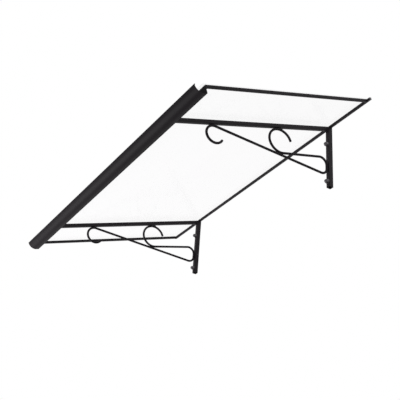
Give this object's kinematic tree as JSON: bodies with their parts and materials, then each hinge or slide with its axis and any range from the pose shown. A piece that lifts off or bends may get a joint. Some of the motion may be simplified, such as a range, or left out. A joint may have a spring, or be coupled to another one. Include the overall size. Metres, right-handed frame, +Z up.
{
  "type": "door canopy",
  "caption": "Door canopy with a clear flat polycarbonate roof on a slim black steel frame, two wall posts with scroll brackets and a black gutter along the front.",
  "frame": {"origin": "on the wall plane, midway between the two posts, at the height where the underside of the roof frame meets the wall", "axes": "+X along the wall, to the right for someone who faces the wall; +Y into the wall, square to the posts' back faces; +Z up. The roof reaches out towards -Y and falls 20 degrees"},
  "size_m": [1.518, 0.79, 0.3148],
  "materials": {
    "black_steel": "satin black powder coat",
    "clear_sheet": "clear polycarbonate",
    "black_gutter": "semi-matt black plastic",
    "black_tape": "black foam glazing tape",
    "grey_zinc": "dull grey zinc",
    "grey_plastic": "grey moulded plastic"
  },
  "bodies": {
    "root": {"wall_rail": "black_steel", "front_bar": "black_steel", "left_end_bar": "black_steel", "right_end_bar": "black_steel", "left_rail_plug": "grey_plastic", "right_rail_plug": "grey_plastic", "left_post": "black_steel", "right_post": "black_steel", "left_arm": "black_steel", "right_arm": "black_steel", "left_scroll": "black_steel", "right_scroll": "black_steel", "left_upper_washer": "grey_zinc", "left_upper_nut": "grey_zinc", "left_upper_stud": "grey_zinc", "left_lower_washer": "grey_zinc", "left_lower_nut": "grey_zinc", "left_lower_stud": "grey_zinc", "right_upper_washer": "grey_zinc", "right_upper_nut": "grey_zinc", "right_upper_stud": "grey_zinc", "right_lower_washer": "grey_zinc", "right_lower_nut": "grey_zinc", "right_lower_stud": "grey_zinc", "rail_tape": "black_tape", "front_tape": "black_tape", "left_tape": "black_tape", "right_tape": "black_tape", "roof_sheet": "clear_sheet", "gutter": "black_gutter", "gutter_screw_1": "grey_zinc", "gutter_screw_2": "grey_zinc", "gutter_screw_3": "grey_zinc", "gutter_screw_4": "grey_zinc", "gutter_screw_5": "grey_zinc"}
  },
  "joints": []
}
